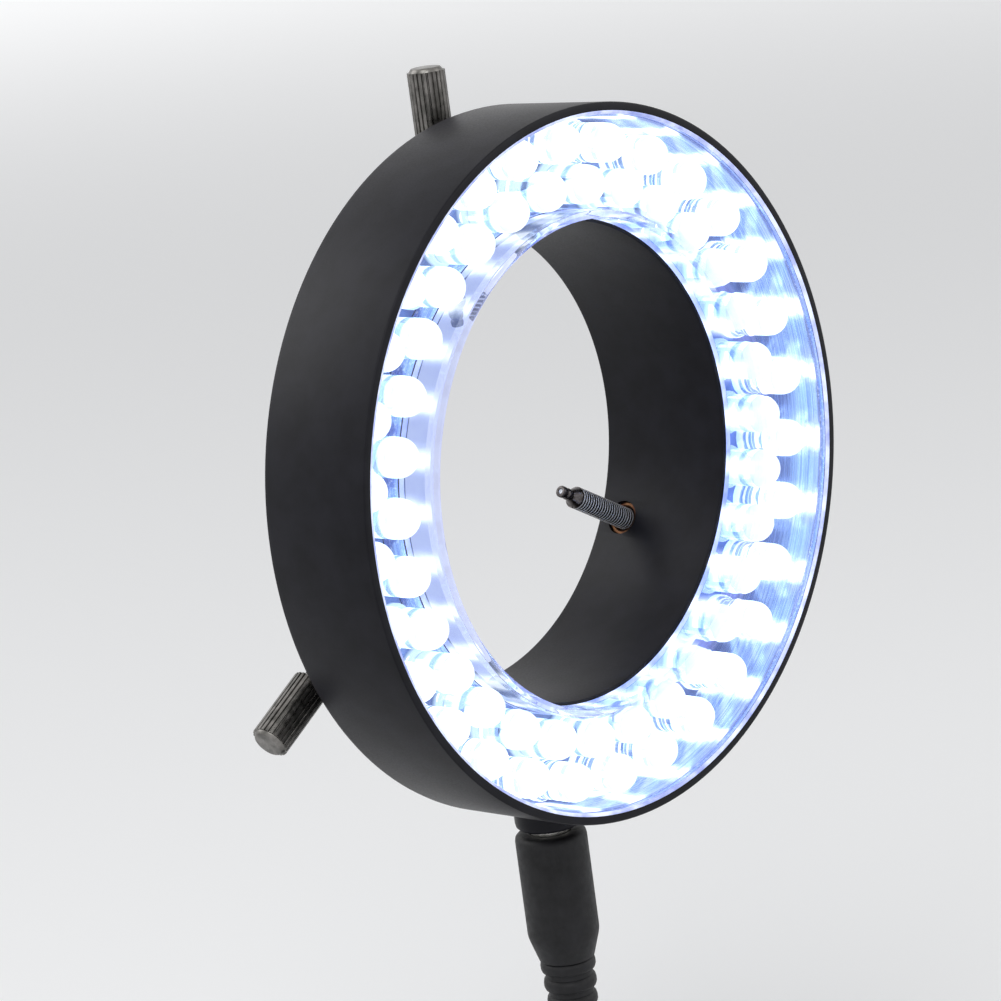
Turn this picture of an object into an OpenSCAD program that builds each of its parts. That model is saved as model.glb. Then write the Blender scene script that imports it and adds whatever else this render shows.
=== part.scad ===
// Ring light for a stereo microscope: a drum with two staggered rows of lamps behind a clear cover,
// a collar with three thumb screws that clamps on the microscope's nose, and a lead that plugs in below.
// The bore runs along Y, the lamps shine towards -Y and the top screw points to +Z.
// The origin is on the bore's axis, in the plane where the collar meets the drum's back.

/* [Bore and drum] */
// Diameter of the bore that slips over the microscope's nose
bore_d = 61; // [59:0.5:64]
// Wall of the inner tube round the bore
tube_wall = 1.4; // [1.3:0.1:2]
// Outer wall of the drum
drum_wall = 1.4; // [1:0.1:2]
// Floor at the back of the drum
floor_t = 1.8; // [1.6:0.1:2.4]
// Rounding of the drum's outer edges
edge_r = 0.6; // [0.2:0.1:0.9]
// Chamfer on the bore's mouths
bore_chamfer = 0.4; // [0.36:0.02:0.6]

/* [Clamp collar] */
// Wall of the collar behind the drum
collar_wall = 3.5; // [3:0.1:4]
// Length of the collar behind the drum
collar_h = 10.5; // [9:0.5:14]
// How far the collar's foot stands out
foot_w = 3.5; // [3.2:0.1:4.5]
// Thickness of the foot
foot_t = 2.5; // [2.2:0.1:3.5]
// Rounding of the collar's back edge
collar_edge_r = 0.8; // [0.3:0.1:1.2]

/* [Front cover] */
// Depth of the cover's face behind the rim
rim_lip = 0.4; // [0.3:0.1:2]
// Thickness of the clear face
cover_t = 1; // [0.8:0.1:1.6]
// Thickness of the clear skirt round the bore
skirt_t = 1; // [0.8:0.1:1.3]
// How much further out than the bore the skirt lies
skirt_relief = 0.4; // [0.35:0.05:0.6]
// Height of the clear skirt between the face and the inner tube
window_h = 5.8; // [4:0.2:6.8]

/* [Lamps] */
// Lamps in each row
row_count = 30; // [20:2:30]
// Turn of the outer row's first lamp from the top, in degrees
row_turn = 3.4; // [0:0.1:6]
// Diameter of a lamp's clear body
lamp_d = 5; // [4.6:0.1:5.2]
// Diameter of the flange at a lamp's foot
flange_d = 5.8; // [5.4:0.1:6]
// Thickness of that flange
flange_t = 1; // [0.8:0.1:1.2]
// Height of a lamp from foot to dome
lamp_h = 8.6; // [8:0.1:9.4]
// Radial step from the inner row to the outer row
row_step = 5.3; // [4.8:0.1:6]
// Gap between the flanges and the walls beside them
row_gap = 0.25; // [0.1:0.05:0.5]
// Gap between the domes and the cover
dome_gap = 0.5; // [0.3:0.1:1.2]
// Side of a lamp's square lead
lead_w = 0.5; // [0.4:0.05:0.6]
// Distance between a lamp's two leads
lead_pitch = 2.54; // [2.4:0.02:2.6]
// How far the leads stand out of the board's back
lead_out = 1.2; // [0.8:0.1:1.4]

/* [Board and reflector] */
// Thickness of the lamp board
board_t = 1.6; // [1:0.2:2]
// Clearance round the board's edges
board_gap = 0.2; // [0.1:0.05:0.3]
// Height of the ledges that carry the board
ledge_h = 3.1; // [1.5:0.1:3.6]
// Width of those ledges
ledge_w = 0.8; // [0.6:0.1:1.2]
// Thickness of the bright sleeve that lines the drum
sleeve_t = 0.35; // [0.3:0.05:0.6]
// Radial clearance of a seated round piece
fit_gap = 0.05; // [0.03:0.01:0.1]
// Chip resistors on the board's back
resistor_count = 15; // [5:5:30]
// Length of a resistor
resistor_l = 3.2; // [2:0.1:3.6]
// Width of a resistor
resistor_w = 1.6; // [0.8:0.1:2]
// Height of a resistor
resistor_h = 0.6; // [0.4:0.1:0.8]
// How far the resistors sit outside the middle between the two rows
resistor_out = 0.2; // [0:0.1:0.6]

/* [Collar screws] */
// Head diameter of a countersunk collar screw
csk_d = 4.4; // [4:0.1:4.8]
// Depth of its countersink
csk_h = 1.1; // [0.9:0.1:1.3]
// Shank diameter
shank_d = 2.4; // [2:0.1:2.5]
// Length of the shank in the collar's foot
shank_l = 1.8; // [1.4:0.1:2]

/* [Thumb screws] */
// Thread diameter
thread_d = 3; // [2.5:0.5:3.5]
// Length from the head to the pressure tip
thread_l = 21.2; // [19:0.2:25]
// Diameter of the knurled head
head_d = 4.9; // [4.4:0.1:6.5]
// Length of the knurled head
head_l = 10.5; // [8:0.5:14]
// Knurls round the head
knurl_count = 24; // [16:2:32]
// Depth of a knurl
knurl_depth = 0.25; // [0.15:0.05:0.35]
// Chamfer on the head's ends
head_chamfer = 0.4; // [0.3:0.1:0.8]
// Cone at the end of the thread
point_h = 1; // [0.5:0.1:1.4]
// Diameter of the pressure tip
tip_d = 1.6; // [1.4:0.1:1.8]
// Length of the pressure tip
tip_l = 2; // [1.4:0.1:3]
// Diameter of the stem that holds the tip in the screw
stem_d = 0.9; // [0.7:0.1:1]
// Length of that stem
stem_l = 1.6; // [1:0.1:2]
// How far the tips stand into the bore
tip_reach = 13.4; // [11:0.2:15]
// Outer diameter of the brass bushes
bush_d = 4.6; // [4.4:0.1:5]
// Running clearance of a thread in its bush and of a stem in its screw
run_gap = 0.05; // [0.03:0.01:0.09]

/* [Power socket] */
// Diameter of the boss that holds the socket
boss_d = 9; // [8.6:0.1:10]
// How far the boss stands out of the drum
boss_reach = 4.7; // [3:0.1:7]
// Rounding of the boss's end
boss_edge_r = 0.8; // [0.3:0.1:1]
// Diameter of the socket's body
jack_d = 7.2; // [6.9:0.1:7.4]
// Length of the socket's body
jack_l = 8.6; // [8.2:0.1:9]
// How far the socket lies inside the boss
jack_recess = 0.2; // [0.1:0.1:0.6]
// Floor at the back of the socket
jack_floor = 0.8; // [0.5:0.1:1]
// Diameter of the centre pin
pin_d = 2; // [1.6:0.1:2.1]
// How far the pin's point lies inside the socket's mouth
pin_recess = 1.2; // [0.6:0.1:2]
// Length of the solder tails behind the socket
tail_l = 1.6; // [1.2:0.1:1.8]
// Diameter of the inner wires
wire_d = 1.1; // [0.8:0.1:1.2]

/* [Plug and cord] */
// Diameter of the plug's barrel
barrel_d = 5.5; // [5.3:0.1:5.6]
// Length of the barrel in front of the plug
barrel_l = 8.4; // [7.6:0.1:8.6]
// Depth to which the barrel sits in the plug
barrel_seat = 4; // [2:0.5:6]
// Wall of each of the barrel's metal tubes
barrel_wall = 0.35; // [0.3:0.05:0.4]
// Clearance between the barrel and the socket, and between the pin and its contact
plug_play = 0.1; // [0.05:0.05:0.15]
// Gap between the boss and the plug
plug_gap = 0.8; // [0.5:0.1:1.5]
// Diameter of the plug's grip
grip_d = 9.6; // [8:0.1:11]
// Length of the grip
grip_l = 14.2; // [12:0.2:18]
// Rounding of the grip's front edge
grip_edge_r = 0.8; // [0.3:0.1:1.2]
// Length of the taper behind the grip
taper_l = 3.5; // [2:0.5:5]
// Diameter of the strain relief beside the grip
relief_d1 = 7.4; // [6:0.1:8]
// Diameter of the strain relief where the cord leaves it
relief_d2 = 5.2; // [4.4:0.1:5.6]
// Length of the strain relief
relief_l = 17.5; // [14:0.5:22]
// Ribs on the strain relief
relief_ribs = 7; // [5:1:9]
// Depth of the grooves between the ribs
relief_groove = 0.45; // [0.2:0.05:0.6]
// Diameter of the cord
cord_d = 3.6; // [3:0.1:4]
// Turns in each layer of the coil
coil_turns = 4; // [2:1:5]
// Gap between neighbouring turns
coil_gap = 0.5; // [0.45:0.05:1]

/* [Hidden] */
$fn = 48;
ring_fn = 180;
over = 0.1;

// Radii from the bore outwards
bore_r = bore_d / 2;
tube_r = bore_r + tube_wall;
inner_row_r = tube_r + row_gap + flange_d / 2;
outer_row_r = inner_row_r + row_step;
sleeve_r = outer_row_r + flange_d / 2 + row_gap;
channel_r = sleeve_r + sleeve_t + fit_gap;
drum_r = channel_r + drum_wall;
collar_r = bore_r + collar_wall;
foot_r = collar_r + foot_w;

// Depths from the drum's back forwards
board_back = -floor_t - ledge_h;
board_front = board_back - board_t;
cover_back = board_front - lamp_h - dome_gap;
cover_front = cover_back - cover_t;
rim_y = cover_front - rim_lip;
tube_y = cover_back + window_h;

// Places of the screws, the socket and the wires
clamp_angles = [0, 120, 240];
clamp_y = (foot_t + collar_h) / 2;
tip_start = bore_r - tip_reach;
head_start = tip_start + tip_l + thread_l;
bush_start = bore_r + bore_chamfer;
collar_screw_r = tube_r + ledge_w + csk_d / 2 + 4 * fit_gap;
boss_r = boss_d / 2;
jack_y = boss_r - floor_t;
boss_end = drum_r + boss_reach;
boss_start = foot_r + 0.3;
jack_mouth = boss_end - jack_recess;
jack_back = jack_mouth - jack_l;
jack_r = jack_d / 2;
barrel_r = barrel_d / 2;
socket_r = barrel_r + plug_play;
contact_t = 0.35;
contact_w = 1.6;
contact_x = socket_r + contact_t / 2 + fit_gap;
pin_tail_d = 1;
tail_end = jack_back - tail_l;
wire_z = -(tail_end + tail_l / 2);
wire_hole_r = contact_x / 2 + wire_d / 2 + 0.4;

// The plug's own axis, with its shoulder at zero and its barrel upwards
plug_z = -(boss_end + plug_gap);
taper_end = -(grip_l + taper_l);
plug_end = taper_end - relief_l;
insulator_r = barrel_r - barrel_wall - fit_gap;
contact_r = pin_d / 2 + plug_play + barrel_wall;

// The cord's way down from the plug and along the table, as [x, y, z] from the plug's end
drop_points = [[0, 0, 0], [0, 0, -3], [0, 0, -6.5], [-0.4, 0, -10], [-1.3, 0, -13.5], [-2.7, 0.1, -17],
    [-4.3, 0.6, -20.5], [-6, 1.9, -24.2], [-7.5, 4, -27.6], [-8.9, 6.9, -30.7], [-9.9, 10.2, -33.2],
    [-10.6, 13.8, -35], [-10.9, 17.4, -35.8], [-11, 20.8, -36], [-11, 24, -36]];
drop_start = [0, jack_y, plug_z + plug_end];
drop_route = [for (p = drop_points) drop_start + p];
table_z = drop_start[2] - 36 - cord_d / 2;

// The coil lies on the table: the lower layer winds in, the upper one winds out
coil_pitch = cord_d + coil_gap;
coil_mid_r = 5 * cord_d;
coil_end_t = 2 * coil_turns + 0.75;
coil_out_r = coil_mid_r + coil_end_t * coil_pitch / 4;
coil_start = drop_route[len(drop_route) - 1] + [0, cord_d, 0];
coil_centre = coil_start + [coil_out_r, 0, 0];
loop_rings = 24;
function coil_radius(t) = coil_out_r - coil_pitch * min(t, coil_end_t - t);
function coil_lift(t) = coil_pitch * smooth(min(1, max(0, 2 * t - coil_end_t + 0.5)));
function smooth(s) = s * s * (3 - 2 * s);
function coil_point(t) = coil_centre
    + [-coil_radius(t) * cos(360 * t), coil_radius(t) * sin(360 * t), coil_lift(t)];
coil_loops = [for (i = [0 : loop_rings * coil_end_t]) coil_point(i / loop_rings)];
coil_route = concat([coil_start - [0, cord_d, 0]], coil_loops, [coil_point(coil_end_t) - [cord_d, 0, 0]]);
function gap_from(i) = min([for (j = [i + loop_rings / 2 : len(coil_loops) - 1])
    norm(coil_loops[i] - coil_loops[j]) - cord_d]);
coil_least_gap = min([for (i = [0 : len(coil_loops) - 1 - loop_rings / 2]) gap_from(i)]);
echo(least_gap_between_turns_of_the_coil = coil_least_gap);

// The cord's way from the coil to the end plug, as [x, height above the plug's axis] from the coil's end
tail_points = [[0, 1], [-2, 1], [-4, 0.88], [-6, 0.62], [-8, 0.33], [-10, 0.1], [-11.5, 0.02], [-13, 0]];
tail_start = coil_route[len(coil_route) - 1];
end_axis_z = table_z + grip_d / 2;
tail_drop = tail_start[2] - end_axis_z;
tail_route = [for (p = tail_points) [tail_start[0] + p[0], tail_start[1], end_axis_z + tail_drop * p[1]]];
end_plug_at = tail_route[len(tail_route) - 1] + [plug_end, 0, 0];

// Turns a profile of [radius, y] points about the bore's axis
module turned() {
    rotate([-90, 0, 0])
        rotate_extrude($fn = ring_fn)
            children();
}

// A plain ring between two radii and two depths
module ring(r1, r2, y1, y2) {
    turned()
        translate([r1, y1])
            square([r2 - r1, y2 - y1]);
}

// Puts a piece that points to +Z at a clamp screw's place
module at_clamp(i) {
    rotate([0, clamp_angles[i], 0])
        translate([0, clamp_y, 0])
            children();
}

// Puts a piece that points to +Y at a collar screw's place, between two clamp screws
module at_collar_screws() {
    for (a = clamp_angles)
        rotate([0, a + 60, 0])
            translate([0, 0, collar_screw_r])
                rotate([-90, 0, 0])
                    children();
}

// Repeats a piece that points to -Y round a row of lamps
module lamp_row(r, first) {
    for (k = [0 : row_count - 1])
        rotate([0, row_turn + (k + first) * 360 / row_count, 0])
            translate([0, board_front, r])
                rotate([90, 0, 0])
                    children();
}

// Points of a quarter round edge from angle a to angle b
function quarter(c, r, a, b) = [for (i = [0 : 6]) c + r * [cos(a + (b - a) * i / 6), sin(a + (b - a) * i / 6)]];

// A tube of n sides along a route, with its rings turned to face the way it runs
function unit(v) = v / norm(v);
function run(p, i) = unit(p[min(i + 1, len(p) - 1)] - p[max(i - 1, 0)]);
module tube(route, d, n, side) {
    last = len(route) - 1;
    rings = [for (i = [0 : last])
        let (t = run(route, i), u = unit(cross(side, t)), v = cross(t, u))
            for (k = [0 : n - 1]) route[i] + d / 2 * (cos(360 * k / n) * u + sin(360 * k / n) * v)];
    walls = [for (i = [0 : last - 1], k = [0 : n - 1])
        let (a = i * n + k, b = i * n + (k + 1) % n)
            each [[a, a + n, b], [b, a + n, b + n]]];
    ends = [for (k = [1 : n - 2])
        each [[0, k, k + 1], [last * n, last * n + k + 1, last * n + k]]];
    polyhedron(points = rings, faces = concat(walls, ends), convexity = 10);
}

// Drum: outer wall, floor, ledges and inner tube in one turned profile, with the socket's boss
module drum_housing() {
    profile = concat(
        quarter([drum_r - edge_r, -edge_r], edge_r, 90, 0),
        [[drum_r, rim_y + edge_r / 2], [drum_r - edge_r / 2, rim_y], [channel_r, rim_y]],
        [[channel_r, board_back], [channel_r - ledge_w, board_back], [channel_r - ledge_w, -floor_t]],
        [[tube_r + ledge_w, -floor_t], [tube_r + ledge_w, board_back], [tube_r, board_back]],
        [[tube_r, tube_y], [bore_r, tube_y], [bore_r, -bore_chamfer], [bore_r + bore_chamfer, 0]]);
    color([0.06, 0.06, 0.07])
        difference() {
            union() {
                turned()
                    polygon(profile);
                translate([0, jack_y, -boss_start])
                    rotate([180, 0, 0])
                        boss();
            }
            translate([0, jack_y, -boss_end - over])
                cylinder(d = jack_d + 2 * fit_gap, h = boss_end + over - tail_end + fit_gap);
            translate([contact_x / 2, -floor_t - over, wire_z])
                rotate([-90, 0, 0])
                    cylinder(r = wire_hole_r, h = jack_y + floor_t);
            at_collar_screws()
                collar_screw_space(floor_t);
        }
}

// Boss of the power socket with a rounded end
module boss() {
    h = boss_end - boss_start;
    rotate_extrude()
        polygon(concat([[0, 0], [boss_r, 0]],
            quarter([boss_r - boss_edge_r, h - boss_edge_r], boss_edge_r, 0, 90), [[0, h]]));
}

// Space of a countersunk screw through the floor
module collar_screw_space(h) {
    translate([0, 0, -h - over])
        cylinder(d = shank_d + 2 * fit_gap, h = h + 2 * over);
    translate([0, 0, -h])
        cylinder(d1 = csk_d + 2 * fit_gap, d2 = shank_d + 2 * fit_gap, h = csk_h);
    translate([0, 0, -h - over])
        cylinder(d = csk_d + 2 * fit_gap, h = over);
}

// Collar: a foot on the drum's back and a neck with the three bushes
module clamp_collar() {
    profile = concat(
        [[bore_r + bore_chamfer, 0], [foot_r - edge_r, 0], [foot_r, edge_r], [foot_r, foot_t - edge_r]],
        [[foot_r - edge_r, foot_t], [collar_r, foot_t]],
        quarter([collar_r - collar_edge_r, collar_h - collar_edge_r], collar_edge_r, 0, 90),
        [[bore_r + bore_chamfer, collar_h], [bore_r, collar_h - bore_chamfer], [bore_r, bore_chamfer]]);
    color([0.07, 0.07, 0.08])
        difference() {
            turned()
                polygon(profile);
            for (i = [0 : 2])
                at_clamp(i)
                    cylinder(d = bush_d + 2 * fit_gap, h = foot_r);
            at_collar_screws()
                translate([0, 0, -over])
                    cylinder(d = shank_d + 2 * fit_gap, h = shank_l + fit_gap + over);
        }
}

// Clear cover: a flat face before the lamps and a skirt that stands on the inner tube
module front_cover() {
    skirt_r = bore_r + skirt_relief;
    color([0.85, 0.92, 1, 0.4])
        turned()
            polygon([[skirt_r, cover_front], [channel_r - fit_gap, cover_front], [channel_r - fit_gap, cover_back],
                [skirt_r + skirt_t, cover_back], [skirt_r + skirt_t, tube_y], [skirt_r, tube_y]]);
}

// Bright sleeve between the board and the cover
module reflector_sleeve() {
    color([0.8, 0.82, 0.86])
        ring(sleeve_r, sleeve_r + sleeve_t, cover_back, board_front);
}

// Lamp board with a pair of holes for each lamp
module lamp_board() {
    color([0.1, 0.3, 0.2])
        difference() {
            ring(tube_r + board_gap, channel_r - board_gap, board_front, board_back);
            lamp_row(inner_row_r, 0.5)
                lead_holes();
            lamp_row(outer_row_r, 0)
                lead_holes();
        }
}

module lead_holes() {
    for (s = [-1, 1])
        translate([s * lead_pitch / 2, 0, -board_t - over])
            cylinder(d = lead_w * sqrt(2) + 4 * fit_gap, h = board_t + 2 * over, $fn = 16);
}

// Clear lamp: flange, straight body and dome
module lamp() {
    lamp_r = lamp_d / 2;
    rotate_extrude() {
        square([flange_d / 2, flange_t]);
        square([lamp_r, lamp_h - lamp_r]);
        translate([0, lamp_h - lamp_r])
            intersection() {
                circle(r = lamp_r);
                square(lamp_r);
            }
    }
}

// The two square leads of a lamp
module leads() {
    h = board_t + lead_out;
    for (s = [-1, 1])
        translate([s * lead_pitch / 2 - lead_w / 2, -lead_w / 2, -h])
            cube([lead_w, lead_w, h]);
}

module inner_row_lamps() {
    color([0.93, 0.96, 1])
        lamp_row(inner_row_r, 0.5)
            lamp();
}

module outer_row_lamps() {
    color([0.9, 0.94, 1])
        lamp_row(outer_row_r, 0)
            lamp();
}

module inner_row_leads() {
    color("silver")
        lamp_row(inner_row_r, 0.5)
            leads();
}

module outer_row_leads() {
    color("silver")
        lamp_row(outer_row_r, 0)
            leads();
}

// Chip resistors between the two rows of leads
module board_resistors() {
    color([0.12, 0.12, 0.13])
        for (k = [0 : resistor_count - 1])
            rotate([0, row_turn + (k + 0.25) * 360 / resistor_count, 0])
                translate([-resistor_l / 2, board_back, (inner_row_r + outer_row_r - resistor_w) / 2 + resistor_out])
                    cube([resistor_l, resistor_h, resistor_w]);
}

// Countersunk screws that hold the collar to the drum's floor
module collar_screws() {
    color("silver")
        at_collar_screws() {
            translate([0, 0, -floor_t])
                cylinder(d1 = csk_d, d2 = shank_d, h = csk_h);
            translate([0, 0, csk_h - floor_t])
                cylinder(d = shank_d, h = floor_t - csk_h + shank_l);
        }
}

// Brass bush that takes a thumb screw's thread
module bush(i) {
    color([0.78, 0.6, 0.25])
        at_clamp(i)
            translate([0, 0, bush_start])
                difference() {
                    cylinder(d = bush_d, h = collar_r - bush_start);
                    translate([0, 0, -over])
                        cylinder(d = thread_d + 2 * run_gap, h = collar_r);
                }
}

// Thumb screw: knurled head, thread and a cone with a socket for the tip's stem
module thumb_screw(i) {
    color([0.45, 0.45, 0.47])
        at_clamp(i)
            difference() {
                union() {
                    translate([0, 0, head_start])
                        knurled_head();
                    translate([0, 0, tip_start + tip_l + point_h])
                        cylinder(d = thread_d, h = thread_l - point_h + over);
                    translate([0, 0, tip_start + tip_l])
                        cylinder(d1 = tip_d, d2 = thread_d, h = point_h);
                }
                translate([0, 0, tip_start + tip_l - over])
                    cylinder(d = stem_d + 2 * run_gap, h = stem_l + run_gap + over);
            }
}

// Straight knurls from a star shaped outline, between two chamfered ends
module knurled_head() {
    r = head_d / 2;
    core_r = r - knurl_depth - fit_gap;
    star = [for (k = [0 : 2 * knurl_count - 1])
        (r - (k % 2) * knurl_depth) * [cos(180 * k / knurl_count), sin(180 * k / knurl_count)]];
    translate([0, 0, head_chamfer])
        linear_extrude(head_l - 2 * head_chamfer)
            polygon(star);
    rotate_extrude()
        polygon([[0, 0], [core_r - head_chamfer, 0], [core_r, head_chamfer], [core_r, head_l - head_chamfer],
            [core_r - head_chamfer, head_l], [0, head_l]]);
}

// Pressure tip that turns on its stem in the screw's end
module pressure_tip(i) {
    color([0.25, 0.24, 0.24])
        at_clamp(i)
            translate([0, 0, tip_start]) {
                cylinder(d = tip_d, h = tip_l - run_gap);
                cylinder(d = stem_d, h = tip_l + stem_l);
            }
}

module bush_top() { bush(0); }
module bush_right() { bush(1); }
module bush_left() { bush(2); }
module thumb_screw_top() { thumb_screw(0); }
module thumb_screw_right() { thumb_screw(1); }
module thumb_screw_left() { thumb_screw(2); }
module pressure_tip_top() { pressure_tip(0); }
module pressure_tip_right() { pressure_tip(1); }
module pressure_tip_left() { pressure_tip(2); }

// Socket body in the boss, open downwards
module jack_body() {
    color([0.09, 0.09, 0.1])
        translate([0, jack_y, -jack_mouth])
            difference() {
                cylinder(r = jack_r, h = jack_l);
                translate([0, 0, -over])
                    cylinder(r = socket_r, h = jack_l - jack_floor + over);
                cylinder(d = pin_tail_d + 2 * fit_gap, h = jack_l + over);
                translate([socket_r - over, -contact_w / 2 - fit_gap, pin_recess])
                    cube([contact_t + 2 * fit_gap + over, contact_w + 2 * fit_gap, jack_l]);
            }
}

// Centre pin with its solder tail
module jack_pin() {
    color([0.8, 0.78, 0.7])
        translate([0, jack_y, -jack_mouth]) {
            translate([0, 0, pin_recess])
                cylinder(d = pin_d, h = jack_l - jack_floor - pin_recess);
            translate([0, 0, pin_recess])
                cylinder(d = pin_tail_d, h = jack_l - pin_recess + tail_l);
        }
}

// Contact strip beside the barrel, with its solder tail
module jack_contact() {
    color([0.8, 0.66, 0.35])
        translate([contact_x - contact_t / 2, jack_y - contact_w / 2, pin_recess + fit_gap - jack_mouth])
            cube([contact_t, contact_w, jack_l + tail_l - pin_recess - fit_gap]);
}

// A wire from a solder tail forwards to the board's back
module wire(x, y_end) {
    translate([x, board_back, wire_z])
        rotate([-90, 0, 0])
            cylinder(d = wire_d, h = y_end - board_back);
}

module wire_positive() {
    color("red")
        wire(0, jack_y - pin_tail_d / 2);
}

module wire_negative() {
    color("black")
        wire(contact_x, jack_y - contact_w / 2);
}

// Moulded grip of a plug, round at the front and tapered at the back
module grip() {
    r = grip_d / 2;
    color([0.08, 0.08, 0.09])
        difference() {
            rotate_extrude()
                polygon(concat([[0, taper_end], [relief_d1 / 2, taper_end], [r, -grip_l]],
                    quarter([r - grip_edge_r, -grip_edge_r], grip_edge_r, 0, 90), [[0, 0]]));
            translate([0, 0, -barrel_seat])
                cylinder(r = barrel_r + fit_gap, h = barrel_seat + over);
        }
}

// A tube of a plug's barrel from its seat to a given length
module barrel_tube(r1, r2, l) {
    translate([0, 0, -barrel_seat])
        difference() {
            cylinder(r = r2, h = barrel_seat + l);
            translate([0, 0, -over])
                cylinder(r = r1, h = barrel_seat + l + 2 * over);
        }
}

module barrel() {
    color("silver")
        barrel_tube(barrel_r - barrel_wall, barrel_r, barrel_l);
}

module insulator() {
    color([0.1, 0.1, 0.1])
        barrel_tube(contact_r + fit_gap, insulator_r, barrel_l - barrel_wall);
}

module contact() {
    color([0.8, 0.66, 0.35])
        barrel_tube(contact_r - barrel_wall, contact_r, barrel_l - 2 * barrel_wall);
}

// Ribbed strain relief, thinner towards the cord
module strain_relief() {
    step = relief_l / (2 * relief_ribs);
    function relief_r(z) = (relief_d1 + (relief_d2 - relief_d1) * z / relief_l) / 2;
    ribs = [for (i = [0 : 2 * relief_ribs - 1])
        let (cut = (i % 2) * relief_groove)
            each [[relief_r(i * step) - cut, taper_end - i * step],
                [relief_r((i + 1) * step) - cut, taper_end - (i + 1) * step]]];
    color([0.08, 0.08, 0.09])
        rotate_extrude()
            polygon(concat([[0, taper_end]], ribs, [[0, plug_end]]));
}

// Puts a plug's piece in the socket, or at the cord's end on the table
module in_socket() {
    translate([0, jack_y, plug_z])
        children();
}

module at_end() {
    translate(end_plug_at)
        rotate([0, -90, 0])
            children();
}

module plug_grip() { in_socket() grip(); }
module plug_barrel() { in_socket() barrel(); }
module plug_insulator() { in_socket() insulator(); }
module plug_contact() { in_socket() contact(); }
module plug_strain_relief() { in_socket() strain_relief(); }
module end_plug_grip() { at_end() grip(); }
module end_plug_barrel() { at_end() barrel(); }
module end_plug_insulator() { at_end() insulator(); }
module end_plug_contact() { at_end() contact(); }
module end_strain_relief() { at_end() strain_relief(); }

module cord_drop() {
    color([0.05, 0.05, 0.05])
        tube(drop_route, cord_d, 8, [1, 0, 0]);
}

module cord_coil() {
    color([0.05, 0.05, 0.05])
        tube(coil_route, cord_d, 6, [0, 0, 1]);
}

module cord_tail() {
    color([0.05, 0.05, 0.05])
        tube(tail_route, cord_d, 8, [0, 0, 1]);
}

drum_housing();
clamp_collar();
front_cover();
reflector_sleeve();
lamp_board();
inner_row_lamps();
outer_row_lamps();
inner_row_leads();
outer_row_leads();
board_resistors();
collar_screws();
bush_top();
bush_right();
bush_left();
thumb_screw_top();
thumb_screw_right();
thumb_screw_left();
pressure_tip_top();
pressure_tip_right();
pressure_tip_left();
jack_body();
jack_pin();
jack_contact();
wire_positive();
wire_negative();
plug_grip();
plug_barrel();
plug_insulator();
plug_contact();
plug_strain_relief();
cord_drop();
cord_coil();
cord_tail();
end_strain_relief();
end_plug_grip();
end_plug_barrel();
end_plug_insulator();
end_plug_contact();
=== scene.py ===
# %% [markdown]
# # A ring light for a stereo microscope
#
# This lesson dresses a construction model of a ring light: a black drum with two rows of clear
# lamps behind a clear cover, a clamp collar with three thumb screws, and a power lead. The
# construction model is loaded as a fixed frame. Each step below makes one piece or one finish,
# says how it could be made, and why it is made this way.

# %% Load the construction model
import math
import bpy
from mathutils import Matrix, Vector


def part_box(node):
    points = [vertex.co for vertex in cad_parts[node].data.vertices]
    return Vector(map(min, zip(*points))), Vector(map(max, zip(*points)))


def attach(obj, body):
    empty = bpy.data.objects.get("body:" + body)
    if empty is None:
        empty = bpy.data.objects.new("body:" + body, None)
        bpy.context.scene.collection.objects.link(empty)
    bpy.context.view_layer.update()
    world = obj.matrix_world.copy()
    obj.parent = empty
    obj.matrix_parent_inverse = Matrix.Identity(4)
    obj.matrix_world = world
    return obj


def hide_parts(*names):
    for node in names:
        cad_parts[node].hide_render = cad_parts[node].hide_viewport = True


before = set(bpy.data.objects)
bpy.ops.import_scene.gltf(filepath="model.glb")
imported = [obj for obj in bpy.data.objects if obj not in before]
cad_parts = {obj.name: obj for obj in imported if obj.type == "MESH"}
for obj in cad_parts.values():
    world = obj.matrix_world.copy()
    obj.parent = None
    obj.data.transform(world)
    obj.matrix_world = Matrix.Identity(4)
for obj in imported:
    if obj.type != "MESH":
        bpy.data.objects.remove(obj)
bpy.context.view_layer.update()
scene = bpy.context.scene
MM = 0.001

# %% [markdown]
# ## Camera
#
# The bore's axis lies along Y and the lamps face -Y. The camera stands in front, to the left and
# a little above. A camera can be aimed with a constraint or turned with Euler angles. Here its
# three axes are worked out from azimuth, elevation and roll, because the roll of a hand-held shot
# is easy to add that way and nothing is left to a constraint.

# %% Camera at the photograph's viewing angle
PICTURE = 1001
FOCAL = 3638
SENSOR = 36
DISTANCE = 467 * MM
PIXELS_RIGHT = 15.0
PIXELS_UP = 41.9
azimuth = math.radians(-46.69)
elevation = math.radians(12.98)
roll = math.radians(-7.7)
level = Vector((math.sin(azimuth), -math.cos(azimuth), 0))
back = level * math.cos(elevation) + Vector((0, 0, math.sin(elevation)))
level_right = (-back).cross(Vector((0, 0, 1))).normalized()
level_up = level_right.cross(-back)
right = level_right * math.cos(roll) + level_up * math.sin(roll)
up = level_up * math.cos(roll) - level_right * math.sin(roll)
metres_per_pixel = DISTANCE / FOCAL
off_centre = (right * PIXELS_RIGHT + up * PIXELS_UP) * metres_per_pixel
place = back * DISTANCE - off_centre

bpy.ops.object.select_all(action="DESELECT")
bpy.ops.object.camera_add()
camera = bpy.context.active_object
camera.name = "photo_camera"
camera.data.sensor_width = SENSOR
camera.data.lens = SENSOR * FOCAL / PICTURE
camera.data.clip_start = 0.01
axes = Matrix((right, up, back)).transposed().to_4x4()
camera.matrix_world = Matrix.Translation(place) @ axes
scene.camera = camera
print("camera at", [round(c / MM, 1) for c in place], "mm, lens", round(camera.data.lens, 1))

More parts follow.
